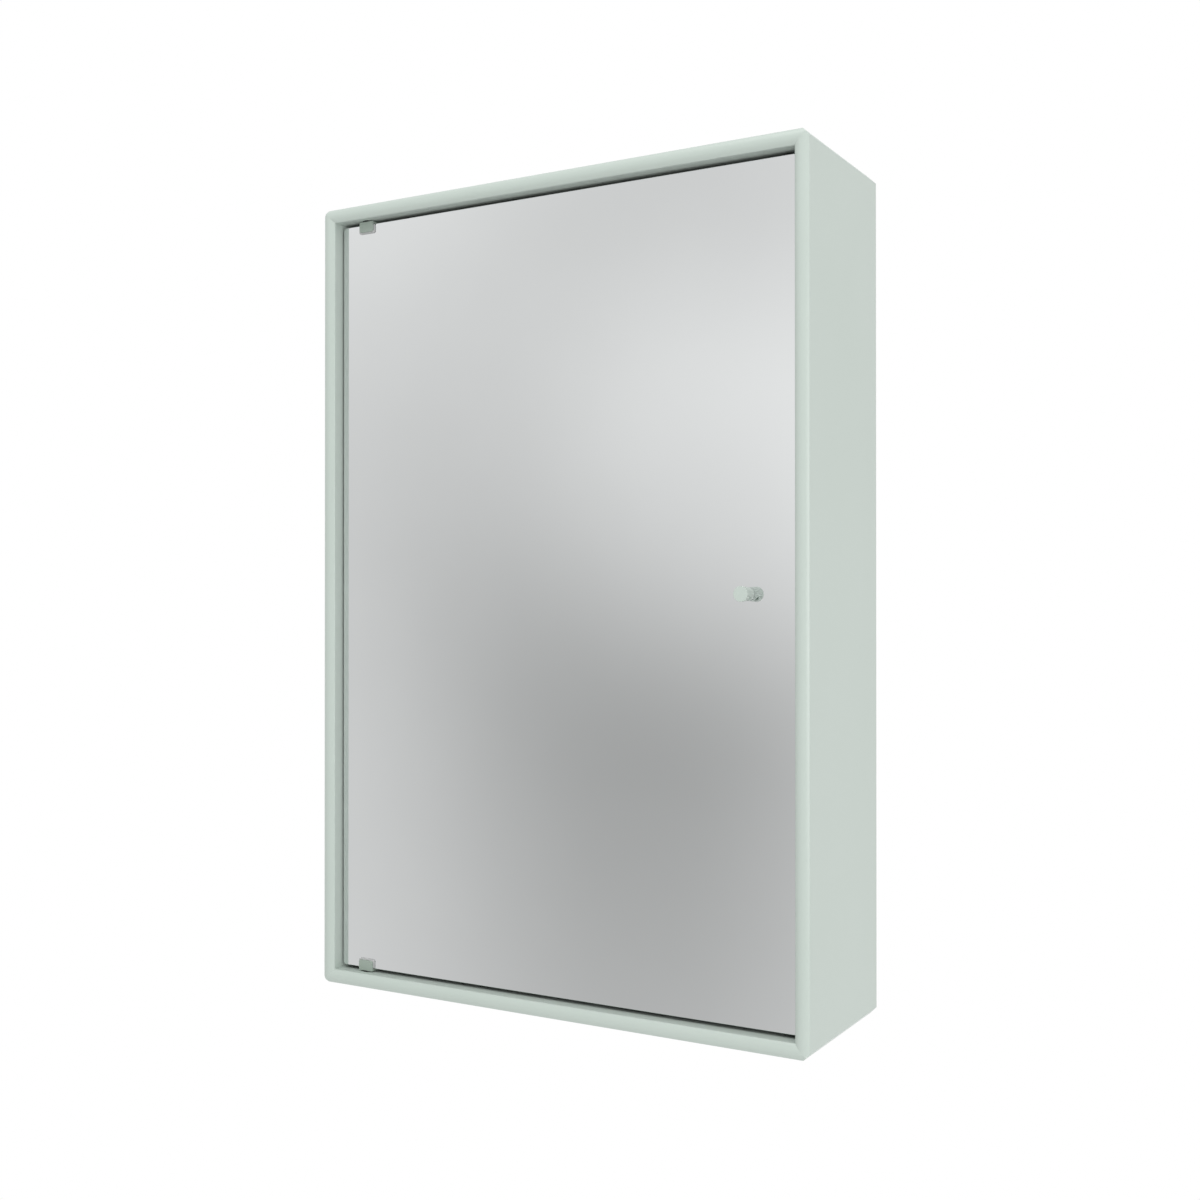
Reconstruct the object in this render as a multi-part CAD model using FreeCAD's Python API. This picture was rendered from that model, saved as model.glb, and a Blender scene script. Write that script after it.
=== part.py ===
import FreeCAD, Part
import math
import os

# A wall-hung cabinet with an inset mirror door. Millimetres, +Z up, +X to the right, +Y into the wall.
# The origin is the middle of the rear face, so the wall is the plane Y = 0 and the front looks along -Y.

Vector = FreeCAD.Vector
X_AXIS = Vector(1, 0, 0)
Y_AXIS = Vector(0, 1, 0)
Z_AXIS = Vector(0, 0, 1)
CENTRE = Vector(0, 0, 0)

# Case boards
width = 468.0
height = 696.0
depth = 150.0
board = 12.0
edge_bulge = 2.5
corner_cut = 5.6
back_board = 12.0
back_rebate = 6.0
back_tongue = 4.0

# Loose tongues in the mitres
spline_width = 8.0
spline_thickness = 3.0
spline_from_corner = 7.5
spline_from_front = 22.0
spline_from_back = 16.0
glue_gap = 0.1

# Holes in the back board for the wall screws
wall_hole = 7.0
wall_hole_from_side = 44.0
wall_hole_from_end = 48.0

# Mirror door
mirror_recess = 12.0
glass = 4.0
glass_corner = 3.0
glass_bevel = 0.5
film = 0.4
film_from_edge = 1.0
door_side_gap = 2.0

# Hinge clips, pads, pins and bushes
pivot_inset = 27.5
clip_width = 15.0
clip_front = 1.6
clip_rear = 3.0
clip_web = 2.0
clip_front_grip = 7.0
clip_rear_grip = 12.0
clip_corner = 2.0
clip_edge = 0.4
web_seat = 0.2
pad = 1.0
pad_border = 1.3
rear_pad_width = 11.0
clamp_screw = 4.0
clamp_screw_from_edge = 6.5
pin = 4.0
pin_reach = 7.0
pin_tip = 0.5
press_play = 0.02
bush_play = 0.05
bush_wall = 1.5
bush_flange = 0.5
bush_flange_lip = 2.0
bush_skin = 2.8
hinge_gap = 0.3

# Knob and its fixing through the glass
knob_diameter = 12.0
knob_foot = 10.4
knob_length = 15.5
knob_rim = 0.4
knob_from_edge = 40.0
knob_bar_hole = 4.0
knob_bar_hole_depth = 2.6
knob_bar_hole_from_glass = 7.0
knob_bar_hole_turn = 45.0
knob_screw = 4.0
knob_screw_reach = 8.0
knob_screw_head = 8.0
knob_screw_head_height = 2.4
knob_washer = 10.0
knob_washer_thickness = 1.0
sleeve_wall = 1.8
sleeve_flange = 0.5
screw_play = 0.1

# Magnetic catch
strike_width = 13.0
strike_length = 26.0
strike = 1.2
strike_from_edge = 2.5
catch_gap = 0.3
catch_width = 14.0
catch_depth = 13.0
catch_length = 26.0
catch_ear = 10.0
catch_ear_thickness = 4.0
catch_round = 1.5
catch_screw = 3.0
catch_screw_head = 5.6
catch_screw_head_height = 1.8
catch_screw_reach = 8.0
magnet = 5.0
magnet_depth = 8.0
magnet_length = 18.0
pole = 1.2
pole_proud = 0.6

# Shelves and shelf pins
shelf = 5.0
shelf_end_gap = 1.5
shelf_back_gap = 0.5
swing_clearance = 4.0
shelf_pin = 5.0
shelf_pin_hole = 8.0
shelf_pin_reach = 8.0
shelf_pin_flat = 0.6
shelf_pin_play = 0.05
shelf_pin_setback = 20.0
shelf_from_middle = 112.0

# Small working values: how far a cutter reaches past a face, and how near counts as the same place
overshoot = 1.0
same = 1e-3

# Places worked out from the sizes above
front = -depth
rebate_floor = -back_board
inner_back = rebate_floor - back_tongue
inner_x = width / 2 - board
inner_z = height / 2 - board

door_end_gap = web_seat + clip_web + hinge_gap + bush_flange
door_left = -inner_x + door_side_gap
door_right = inner_x - door_side_gap
door_top = inner_z - door_end_gap
glass_front = front + mirror_recess
glass_back = glass_front + glass
film_back = glass_back + film
pivot_x = door_left + pivot_inset
pivot_y = glass_front + glass / 2
knob_x = door_right - knob_from_edge
knob_hole = knob_screw + 2 * screw_play + 2 * sleeve_wall

clip_face = glass_front - pad - clip_front
clamp_inner = film_back + pad
clamp_outer = clamp_inner + clip_rear
web_low = door_top + web_seat
web_high = web_low + clip_web
bush_outer = pin + 2 * bush_play + 2 * bush_wall
bush_depth = board - bush_skin

strike_back = film_back + strike
strike_right = door_right - strike_from_edge
catch_front = strike_back + catch_gap + pole_proud
catch_back = catch_front + catch_depth
catch_left = inner_x - catch_width

shelf_front = pivot_y + pivot_inset + swing_clearance
shelf_rear = inner_back - shelf_back_gap
shelf_levels = {"upper": shelf_from_middle - shelf, "lower": -shelf_from_middle}
pin_rows = (shelf_front + shelf_pin_setback, shelf_rear - shelf_pin_setback)


def block(x_range, y_range, z_range):
    """A box between two X, two Y and two Z values."""
    size = [abs(high - low) for low, high in (x_range, y_range, z_range)]
    return Part.makeBox(*size, Vector(min(x_range), min(y_range), min(z_range)))


def rod(diameter, start, axis, length):
    """A round bar from a point along an axis."""
    return Part.makeCylinder(diameter / 2, length, start, axis)


def tube(outer, inner, start, axis, length):
    """A round bar with a bore."""
    return rod(outer, start, axis, length).cut(rod(inner, start, axis, length))


def edges_along(solid, axis):
    """The straight edges of a solid that run along an axis."""
    return [edge for edge in solid.Edges if edge.tangentAt(edge.FirstParameter).isParallel(axis, same)]


def bevelled(plate, axis, bevel):
    """A plate with a bevel round both of the faces that look along an axis."""
    faces = [face for face in plate.Faces if face.normalAt(0, 0).isParallel(axis, same)]
    return plate.makeChamfer(bevel, [edge for face in faces for edge in face.Edges])


def rounded_plate(x_range, z_range, y_range, radius):
    """An upright plate with its four corners rounded."""
    plate = block(x_range, y_range, z_range)
    return plate.makeFillet(radius, edges_along(plate, Y_AXIS))


def flip(shape):
    """The same piece upside down, for the lower end of the cabinet."""
    return shape.mirror(CENTRE, Z_AXIS)


def revolved(points, start, axis):
    """A turned piece: (radius, distance along the axis) points, spun about the axis."""
    outline = Part.makePolygon([Vector(radius, 0, along) for radius, along in points + points[:1]])
    solid = Part.Face(outline).revolve(CENTRE, Z_AXIS, 360)
    solid.Placement = FreeCAD.Placement(start, FreeCAD.Rotation(Z_AXIS, axis))
    return solid


# Case

def board_section():
    """A case board's cross section: outer face at X = 0, crowned front edge, rebate for the back board."""
    crease = front + edge_bulge
    outer = Vector(0, crease, 0)
    crown = Vector(-board / 2, front, 0)
    inner = Vector(-board, crease, 0)
    step = back_rebate - board
    rear = [inner, Vector(-board, rebate_floor, 0), Vector(step, rebate_floor, 0)]
    rear += [Vector(step, 0, 0), CENTRE, outer]
    edges = [Part.Arc(outer, crown, inner).toShape()]
    edges += Part.makePolygon(rear).Edges
    return Part.Face(Part.Wire(edges))


def mitred_board(length):
    """A board along Z, mitred at both ends, with the points of the mitres cut off at 45 degrees."""
    half = length / 2
    beyond = half + overshoot
    past_inner = board + overshoot
    past_cut = corner_cut + overshoot
    solid = board_section()
    solid.translate(Vector(0, 0, -half))
    solid = solid.extrude(Vector(0, 0, length))
    for end in (1, -1):
        mitre = [(overshoot, beyond), (-past_inner, half - past_inner), (-past_inner, beyond)]
        point = [(overshoot, beyond), (-past_cut, beyond), (overshoot, half - past_cut)]
        for outline in (mitre, point):
            corners = [Vector(x, overshoot, end * z) for x, z in outline]
            waste = Part.Face(Part.makePolygon(corners + corners[:1]))
            solid = solid.cut(waste.extrude(Vector(0, -depth - 2 * overshoot, 0)))
    return solid.removeSplitter()


def placed_board(length, turn, middle):
    """A mitred board turned about the depth axis and set with its outer face at the middle point."""
    solid = mitred_board(length)
    solid.rotate(CENTRE, Y_AXIS, turn)
    solid.translate(middle)
    return solid


def spline(side, end, gap):
    """The loose tongue across one mitre, or with a gap the groove that takes it."""
    length = (front + spline_from_front - gap, rebate_floor - spline_from_back + gap)
    half_width = spline_width / 2 + gap
    half_thickness = spline_thickness / 2 + gap
    tongue = block((-half_width, half_width), length, (-half_thickness, half_thickness))
    tongue.rotate(CENTRE, Y_AXIS, 45 * side * end)
    place = Vector(side * (width / 2 - spline_from_corner), 0, end * (height / 2 - spline_from_corner))
    tongue.translate(place)
    return tongue


def headed_screw(shank, head, head_height, reach, start, axis):
    """A cheese head screw, the underside of its head at the start point."""
    points = [(0, -head_height), (head / 2, -head_height), (head / 2, 0)]
    points += [(shank / 2, 0), (shank / 2, reach), (0, reach)]
    return revolved(points, start, axis)


def wall_hole_places():
    """The four holes in the back board for the wall screws."""
    x = inner_x - wall_hole_from_side
    z = inner_z - wall_hole_from_end
    return [Vector(side * x, inner_back, end * z) for side in (-1, 1) for end in (-1, 1)]


def shelf_pin_solid(side, y, z, play):
    """One shelf pin, or with play the hole it sits in; z is the underside of the shelf."""
    axis_z = z - shelf_pin / 2 + shelf_pin_flat
    face = Vector(side * inner_x, y, axis_z)
    inward = Vector(-side, 0, 0)
    if play:
        return rod(shelf_pin + 2 * play, face, -inward, shelf_pin_hole)
    buried = shelf_pin_hole - press_play
    pin_solid = rod(shelf_pin, face - inward * buried, inward, buried + shelf_pin_reach)
    tip = side * (inner_x - shelf_pin_reach - overshoot)
    flat = block((side * inner_x, tip), (y - shelf_pin, y + shelf_pin), (z, z + shelf_pin))
    return pin_solid.cut(flat)


def pivot_bush():
    """The flanged nylon bush in the top board; the pivot pin turns in it."""
    bore = pin + 2 * bush_play
    face = Vector(pivot_x, pivot_y, inner_z)
    flange = rod(bush_outer + 2 * bush_flange_lip, face, -Z_AXIS, bush_flange)
    barrel = rod(bush_outer, face, Z_AXIS, bush_depth - press_play)
    below = Vector(pivot_x, pivot_y, inner_z - bush_flange)
    hole = rod(bore, below, Z_AXIS, bush_flange + bush_depth)
    return flange.fuse(barrel).removeSplitter().cut(hole)


def case_boards():
    """The four boards with their grooves and holes."""
    boards = {
        "side_left": placed_board(height, 180, Vector(-width / 2, 0, 0)),
        "side_right": placed_board(height, 0, Vector(width / 2, 0, 0)),
        "top_panel": placed_board(width, -90, Vector(0, 0, height / 2)),
        "bottom_panel": placed_board(width, 90, Vector(0, 0, -height / 2)),
    }
    cuts = [spline(side, end, glue_gap) for side in (-1, 1) for end in (-1, 1)]
    for level in shelf_levels.values():
        cuts += [shelf_pin_solid(side, y, level, shelf_pin_play) for side in (-1, 1) for y in pin_rows]
    bush_hole = rod(bush_outer + 2 * press_play, Vector(pivot_x, pivot_y, inner_z), Z_AXIS, bush_depth)
    cuts += [bush_hole, flip(bush_hole)]
    cuts += [rod(catch_screw + 2 * screw_play, place, X_AXIS, catch_screw_reach + screw_play)
             for place in catch_screw_places(inner_x)]
    return {name: solid.cut(cuts) for name, solid in boards.items()}


def back_panel():
    """The back board, glued into the rebates of the case, its edge stepped to match, with the wall holes."""
    plate_x = inner_x + back_rebate - glue_gap
    plate_z = inner_z + back_rebate - glue_gap
    plate = block((-plate_x, plate_x), (rebate_floor, 0), (-plate_z, plate_z))
    tongue_x = inner_x - glue_gap
    tongue_z = inner_z - glue_gap
    tongue = block((-tongue_x, tongue_x), (inner_back, rebate_floor), (-tongue_z, tongue_z))
    holes = [rod(wall_hole, place, Y_AXIS, back_board + back_tongue) for place in wall_hole_places()]
    return plate.fuse(tongue).removeSplitter().cut(holes)


def glass_shelf(level):
    """A glass shelf with ground edges, lying on its pins."""
    half = inner_x - shelf_end_gap
    plate = block((-half, half), (shelf_front, shelf_rear), (level, level + shelf))
    return bevelled(plate, Z_AXIS, glass_bevel)


# Door

def mirror_glass():
    """The mirror: ground corners, bevelled edges and the drilled hole for the knob."""
    plate = rounded_plate((door_left, door_right), (-door_top, door_top),
                          (glass_front, glass_back), glass_corner)
    hole = rod(knob_hole, Vector(knob_x, glass_front, 0), Y_AXIS, glass)
    return bevelled(plate, Y_AXIS, glass_bevel).cut(hole)


def mirror_backing():
    """The safety film on the back of the glass, kept a little short of its edges."""
    left = door_left + film_from_edge
    right = door_right - film_from_edge
    top = door_top - film_from_edge
    sheet = block((left, right), (glass_back, film_back), (-top, top))
    return sheet.cut(rod(knob_hole, Vector(knob_x, glass_back, 0), Y_AXIS, film))


def hinge_clip():
    """The channel that grips the top edge of the glass, with the pin hole and the clamp screw's hole."""
    half = clip_width / 2
    x_range = (pivot_x - half, pivot_x + half)
    front_plate = block(x_range, (clip_face, clip_face + clip_front), (door_top - clip_front_grip, web_high))
    rear_plate = block(x_range, (clamp_inner, clamp_outer), (door_top - clip_rear_grip, web_high))
    web = block(x_range, (clip_face, clamp_outer), (web_low, web_high))
    body = web.fuse([front_plate, rear_plate]).removeSplitter()
    low_corners = [edge for edge in edges_along(body, Y_AXIS) if edge.CenterOfMass.z < door_top]
    body = body.makeFillet(clip_corner, low_corners)
    face = min(body.Faces, key=lambda candidate: candidate.CenterOfMass.y)
    body = body.makeChamfer(clip_edge, face.Edges)
    pin_hole = rod(pin + 2 * press_play, Vector(pivot_x, pivot_y, web_low), Z_AXIS, clip_web)
    tapped = rod(clamp_screw + 2 * press_play, clamp_place(clamp_inner), Y_AXIS, clip_rear)
    return body.cut([pin_hole, tapped])


def clamp_place(y):
    """A point on the clamp screw's axis."""
    return Vector(pivot_x, y, door_top - clamp_screw_from_edge)


def front_pad():
    """The clear pad between the clip's face plate and the mirror; it shows round the plate."""
    half = clip_width / 2 + pad_border
    low = door_top - clip_front_grip - pad_border
    return rounded_plate((pivot_x - half, pivot_x + half), (low, door_top),
                         (glass_front - pad, glass_front), clip_corner)


def rear_pad():
    """The pad that the clamp screw presses against the back of the door."""
    half = rear_pad_width / 2
    low = door_top - clip_rear_grip
    return block((pivot_x - half, pivot_x + half), (film_back, clamp_inner), (low, door_top - film_from_edge))


def clamp_grub():
    """The clamp screw, flush with the clip, with its hexagon socket."""
    start = clamp_place(clamp_inner)
    screw = rod(clamp_screw, start, Y_AXIS, clip_rear)
    across = clamp_screw / 2
    key = [Vector(0, 0, across / math.sqrt(3))]
    for turn in range(60, 361, 60):
        key.append(FreeCAD.Rotation(Y_AXIS, turn).multVec(key[0]))
    socket = Part.Face(Part.makePolygon(key)).extrude(Vector(0, clip_rear / 2, 0))
    socket.translate(clamp_place(clamp_outer - clip_rear / 2))
    return screw.cut(socket)


def pivot_pin():
    """The pin riveted into the clip's web, running in the bush."""
    length = clip_web + hinge_gap + bush_flange + pin_reach
    points = [(0, 0), (pin / 2, 0), (pin / 2, length - pin_tip), (pin / 2 - pin_tip, length), (0, length)]
    return revolved(points, Vector(pivot_x, pivot_y, web_low), Z_AXIS)


def knob():
    """The turned knob: a barrel that tapers to its tapped foot, with a side hole for a tightening bar."""
    length = knob_length - sleeve_flange
    radius = knob_diameter / 2
    points = [(0, 0), (knob_foot / 2, 0), (radius, length - knob_rim)]
    points += [(radius - knob_rim, length), (0, length)]
    foot = Vector(knob_x, glass_front - sleeve_flange, 0)
    tapped = rod(knob_screw + 2 * press_play, foot, -Y_AXIS, knob_screw_reach + screw_play)
    outward = FreeCAD.Rotation(Y_AXIS, knob_bar_hole_turn).multVec(X_AXIS)
    middle = Vector(knob_x, glass_front - knob_bar_hole_from_glass, 0)
    bottom = middle + outward * (radius - knob_bar_hole_depth)
    bar_hole = rod(knob_bar_hole, bottom, outward, knob_bar_hole_depth + overshoot)
    return revolved(points, foot, -Y_AXIS).cut([tapped, bar_hole])


def knob_fixings():
    """The screw, flanged sleeve and washer that hold the knob in the drilled glass."""
    bore = knob_screw + 2 * screw_play
    washer_back = film_back + knob_washer_thickness
    reach = knob_screw_reach + sleeve_flange + glass + film + knob_washer_thickness
    face = Vector(knob_x, glass_front, 0)
    flange = rod(knob_washer, face, -Y_AXIS, sleeve_flange)
    barrel = rod(knob_hole - 2 * press_play, face, Y_AXIS, glass + film)
    sleeve_bore = rod(bore, face - Y_AXIS * sleeve_flange, Y_AXIS, sleeve_flange + glass + film)
    return {
        "knob_screw": headed_screw(knob_screw, knob_screw_head, knob_screw_head_height, reach,
                                Vector(knob_x, washer_back, 0), -Y_AXIS),
        "knob_sleeve": flange.fuse(barrel).removeSplitter().cut(sleeve_bore),
        "knob_washer": tube(knob_washer, bore, Vector(knob_x, film_back, 0), Y_AXIS, knob_washer_thickness),
    }


# Catch

def strike_plate():
    """The steel plate bonded to the back of the door."""
    half = strike_length / 2
    return rounded_plate((strike_right - strike_width, strike_right), (-half, half),
                         (film_back, strike_back), catch_round)


def catch_screw_places(x):
    """The two catch screws, one in each ear."""
    z = catch_length / 2 + catch_ear / 2
    y = (catch_front + catch_back) / 2
    return [Vector(x, y, end * z) for end in (-1, 1)]


def magnet_box(gap):
    """The space of the magnet between its two pole plates, or with a gap the pocket for all three."""
    middle = catch_left + catch_width / 2
    half_x = magnet / 2 + pole + gap
    half_z = magnet_length / 2 + gap
    return middle, half_x, half_z


def catch_housing():
    """The moulded catch: a body with a screw ear at each end and a pocket for the magnet."""
    body_half = catch_length / 2
    ear_half = body_half + catch_ear
    body = block((catch_left, inner_x), (catch_front, catch_back), (-body_half, body_half))
    crown = [edge for edge in body.Edges if edge.CenterOfMass.x < catch_left + same]
    body = body.makeChamfer(catch_round, crown)
    ears = block((inner_x - catch_ear_thickness, inner_x), (catch_front, catch_back), (-ear_half, ear_half))
    ears = ears.makeFillet(catch_round, edges_along(ears, X_AXIS))
    middle, half_x, half_z = magnet_box(press_play)
    pocket = block((middle - half_x, middle + half_x), (catch_front, catch_front + magnet_depth),
                   (-half_z, half_z))
    holes = [rod(catch_screw + 2 * screw_play, place, X_AXIS, catch_ear_thickness)
             for place in catch_screw_places(inner_x - catch_ear_thickness)]
    return body.fuse(ears).removeSplitter().cut([pocket] + holes)


def catch_magnet():
    """The magnet, level with the mouth of its pocket."""
    middle, half_x, half_z = magnet_box(0)
    half = magnet / 2
    return block((middle - half, middle + half), (catch_front, catch_front + magnet_depth), (-half_z, half_z))


def catch_pole_plates():
    """The two steel plates beside the magnet; their edges stand proud and meet the strike plate."""
    middle, half_x, half_z = magnet_box(0)
    plates = []
    for side in (-1, 1):
        inner = middle + side * magnet / 2
        outer = middle + side * half_x
        plates.append(block((inner, outer), (catch_front - pole_proud, catch_front + magnet_depth),
                            (-half_z, half_z)))
    return Part.makeCompound(plates)


# Assembly

nodes = case_boards()
nodes["mitre_splines"] = Part.makeCompound([spline(side, end, 0) for side in (-1, 1) for end in (-1, 1)])
nodes["back_panel"] = back_panel()

for name, level in shelf_levels.items():
    nodes[name + "_shelf"] = glass_shelf(level)
    nodes[name + "_shelf_pins"] = Part.makeCompound(
        [shelf_pin_solid(side, y, level, 0) for side in (-1, 1) for y in pin_rows])

nodes["mirror_glass"] = mirror_glass()
nodes["mirror_backing"] = mirror_backing()

hinge_pieces = {
    "pivot_bush": pivot_bush(),
    "hinge_clip": hinge_clip(),
    "front_pad": front_pad(),
    "rear_pad": rear_pad(),
    "clamp_screw": clamp_grub(),
    "pivot_pin": pivot_pin(),
}
for name, solid in hinge_pieces.items():
    nodes["top_" + name] = solid
    nodes["bottom_" + name] = flip(solid)

nodes["knob"] = knob()
nodes.update(knob_fixings())

nodes["strike_plate"] = strike_plate()
nodes["catch_housing"] = catch_housing()
nodes["catch_magnet"] = catch_magnet()
nodes["catch_pole_plates"] = catch_pole_plates()
nodes["catch_screws"] = Part.makeCompound(
    [headed_screw(catch_screw, catch_screw_head, catch_screw_head_height,
               catch_ear_thickness + catch_screw_reach, place, X_AXIS)
     for place in catch_screw_places(inner_x - catch_ear_thickness)])

os.makedirs("parts", exist_ok=True)
for name, solid in nodes.items():
    solid.exportStep("parts/" + name + ".step")
    print(name, len(solid.Solids), "solids,", round(solid.Volume), "mm3, valid", solid.isValid())
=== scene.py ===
import math

import bmesh
import bpy
from mathutils import Matrix, Vector


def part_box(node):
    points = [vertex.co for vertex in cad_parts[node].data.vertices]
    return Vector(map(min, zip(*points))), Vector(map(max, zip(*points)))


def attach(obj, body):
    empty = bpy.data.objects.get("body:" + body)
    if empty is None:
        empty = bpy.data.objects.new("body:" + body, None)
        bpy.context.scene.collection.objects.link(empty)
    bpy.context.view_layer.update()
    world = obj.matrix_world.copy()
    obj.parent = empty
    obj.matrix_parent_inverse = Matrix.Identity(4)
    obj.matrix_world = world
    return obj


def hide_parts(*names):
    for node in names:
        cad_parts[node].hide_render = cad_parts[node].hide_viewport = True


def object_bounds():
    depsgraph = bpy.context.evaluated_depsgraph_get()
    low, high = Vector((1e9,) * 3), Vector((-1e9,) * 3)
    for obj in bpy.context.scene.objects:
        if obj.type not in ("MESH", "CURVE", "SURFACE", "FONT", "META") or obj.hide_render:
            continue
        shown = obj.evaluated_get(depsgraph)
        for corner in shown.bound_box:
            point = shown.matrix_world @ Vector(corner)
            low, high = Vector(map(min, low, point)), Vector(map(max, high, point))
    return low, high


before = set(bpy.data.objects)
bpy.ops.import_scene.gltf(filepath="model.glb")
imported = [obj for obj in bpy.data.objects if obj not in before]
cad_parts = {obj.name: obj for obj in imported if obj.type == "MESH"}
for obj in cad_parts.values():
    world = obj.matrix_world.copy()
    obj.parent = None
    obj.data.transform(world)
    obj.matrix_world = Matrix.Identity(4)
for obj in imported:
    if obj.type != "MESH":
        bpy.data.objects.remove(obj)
cad_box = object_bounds()

# A wall-hung mirror cabinet: a lacquered case, an inset mirror door on pivot clips, glass shelves inside.
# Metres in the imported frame: the wall is Y = 0, the front looks along -Y and +Z is up.
# The sizes here are those that the boxes of the CAD nodes don't give.

MM = 0.001
TINY = 1e-6
half_width = cad_box[1].x
half_height = cad_box[1].z

# Case boards, with the tongues in their mitres and the bushes in top and bottom, the mitre in degrees
crown_rise = 2.5 * MM
corner_cut = 5.6 * MM
board_edge = 0.35 * MM
back_board = 12.0 * MM
back_rebate = 6.0 * MM
mitre_angle = 45
tongue_width = 8.0 * MM
tongue_thickness = 3.0 * MM
tongue_from_corner = 7.5 * MM
bush_lip = 2.0 * MM

# Mirror and knob, the turn of the bar's hole in degrees
glass_corner = 3.0 * MM
glass_bevel = 0.5 * MM
glass_hole = 7.8 * MM
knob_foot = 10.4 * MM
knob_rim = 0.4 * MM
bar_hole = 4.0 * MM
bar_hole_depth = 2.6 * MM
bar_hole_from_glass = 7.0 * MM
bar_hole_turn = 45

# Clips and their clear pads
clip_front = 1.6 * MM
clip_rear = 3.0 * MM
clip_web = 2.0 * MM
clip_corner = 2.0 * MM
clip_edge = 0.35 * MM
clip_front_grip = 7.0 * MM
pad_edge = 0.25 * MM

# Shelf pins and screws, the cross recess as shares of the screw's head
shelf_pin = 5.0 * MM
shelf_pin_reach = 8.0 * MM
pin_tip = 0.4 * MM
catch_screw = 3.0 * MM
catch_screw_head = 1.8 * MM
knob_screw = 4.0 * MM
knob_screw_head = 2.4 * MM
screw_head_edge = 0.4 * MM
cross_span = 0.6
cross_depth = 0.55

# Room in the holes, and how far a drill runs past the face that it enters by
shelf_pin_play = 0.1 * MM
glue_gap = 0.1 * MM
screw_play = 0.2 * MM
press_play = 0.04 * MM
tip_play = 0.1 * MM
drill_past = 1.0 * MM

# How finely round forms are divided, and the angles in degrees past which an edge counts as sharp
crown_steps = 28
turned_steps = 96
small_turned_steps = 48
edge_steps = 3
rim_steps = 6
card_steps = 72
shaded_sharp = 40
clip_sharp = 50

# Sizes of the patterns in the finishes, and the scale along the grain that draws the flecks of beech long
paint_cloud = 90 * MM
wiping_marks = 60 * MM
brush_strokes = 4 * MM
settled_dust = 25 * MM
film_grain = 2.5 * MM
plastic_cloud = 3 * MM
nylon_cloud = 8 * MM
nylon_grain = 0.8 * MM
zinc_spangle = 1.2 * MM
zinc_wear = 2 * MM
ferrite_speck = 0.7 * MM
beech_fleck = 1 * MM
beech_along_grain = 0.12
floor_speck = 250 * MM


# Meshes

def middle_of(node):
    """The middle of a CAD node's box."""
    low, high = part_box(node)
    return [(start + end) / 2 for start, end in zip(low, high)]


def new_piece(name, bm, body, finishes, node):
    """Closes a mesh as a piece of the object, with even normals, finishes and the node that it stands for."""
    bmesh.ops.remove_doubles(bm, verts=bm.verts, dist=TINY)
    bmesh.ops.recalc_face_normals(bm, faces=bm.faces)
    for face in bm.faces:
        face.smooth = True
    mesh = bpy.data.meshes.new(name)
    bm.to_mesh(mesh)
    bm.free()
    mesh.set_sharp_from_angle(angle=math.radians(shaded_sharp))
    for finish in finishes:
        mesh.materials.append(finish)
    piece = bpy.data.objects.new(name, mesh)
    bpy.context.scene.collection.objects.link(piece)
    even = piece.modifiers.new("even_normals", "WEIGHTED_NORMAL")
    even.keep_sharp = True
    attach(piece, body)
    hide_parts(node)


def verts_of(made):
    """The vertices in what an operator gives back."""
    return [part for part in made if isinstance(part, bmesh.types.BMVert)]


def drawn(bm, points):
    """A closed flat outline as one face."""
    bm.faces.new([bm.verts.new(point) for point in points])


def open_line(bm, points):
    """Half of an outline to spin, as a line through points, and its vertices."""
    line = [bm.verts.new(point) for point in points]
    for start, end in zip(line, line[1:]):
        bm.edges.new((start, end))
    return line


def rounded(bm, geometry, radius, steps, kind="EDGES"):
    """Rounds edges of a solid, or the corners of an outline."""
    bmesh.ops.bevel(bm, geom=geometry, offset=radius, offset_type="OFFSET", segments=steps,
                    profile=0.5, affect=kind, material=-1, clamp_overlap=True)


def spun(bm, middle, axis, steps):
    """Spins half of an outline into a solid."""
    bmesh.ops.spin(bm, geom=bm.verts[:] + bm.edges[:], cent=middle, axis=axis,
                   angle=2 * math.pi, steps=steps, use_merge=True)


def drawn_out(bm, faces, way):
    """Draws flat faces out into a solid."""
    made = bmesh.ops.extrude_face_region(bm, geom=faces)
    bmesh.ops.translate(bm, verts=verts_of(made["geom"]), vec=way)


def sliced(bm, point, outward):
    """Takes away what lies beyond a plane, and gives the rim that this leaves open."""
    everything = bm.verts[:] + bm.edges[:] + bm.faces[:]
    cut = bmesh.ops.bisect_plane(bm, geom=everything, dist=TINY, plane_co=point,
                                 plane_no=outward, clear_outer=True)
    return [part for part in cut["geom_cut"] if isinstance(part, bmesh.types.BMEdge)]


def drilled(bm, drill):
    """A solid less the form of a drill."""
    held = {}
    for name, form in (("blank", bm), ("drill", drill)):
        bmesh.ops.remove_doubles(form, verts=form.verts, dist=TINY)
        bmesh.ops.recalc_face_normals(form, faces=form.faces)
        mesh = bpy.data.meshes.new(name)
        form.to_mesh(mesh)
        form.free()
        held[name] = bpy.data.objects.new(name, mesh)
        bpy.context.scene.collection.objects.link(held[name])
    cut = held["blank"].modifiers.new("cut", "BOOLEAN")
    cut.operation = "DIFFERENCE"
    cut.solver = "EXACT"
    cut.object = held["drill"]
    done = held["blank"].evaluated_get(bpy.context.evaluated_depsgraph_get())
    result = bmesh.new()
    result.from_mesh(done.data)
    for piece in held.values():
        mesh = piece.data
        bpy.data.objects.remove(piece)
        bpy.data.meshes.remove(mesh)
    return result


def round_drill(bm, diameter, start, end):
    """Adds a round drill that runs from one point to another."""
    way = Vector(end) - Vector(start)
    middle = (Vector(start) + Vector(end)) / 2
    place = Matrix.Translation(middle) @ way.to_track_quat("Z", "Y").to_matrix().to_4x4()
    bmesh.ops.create_cone(bm, cap_ends=True, segments=small_turned_steps, radius1=diameter / 2,
                          radius2=diameter / 2, depth=way.length, matrix=place)


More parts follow.
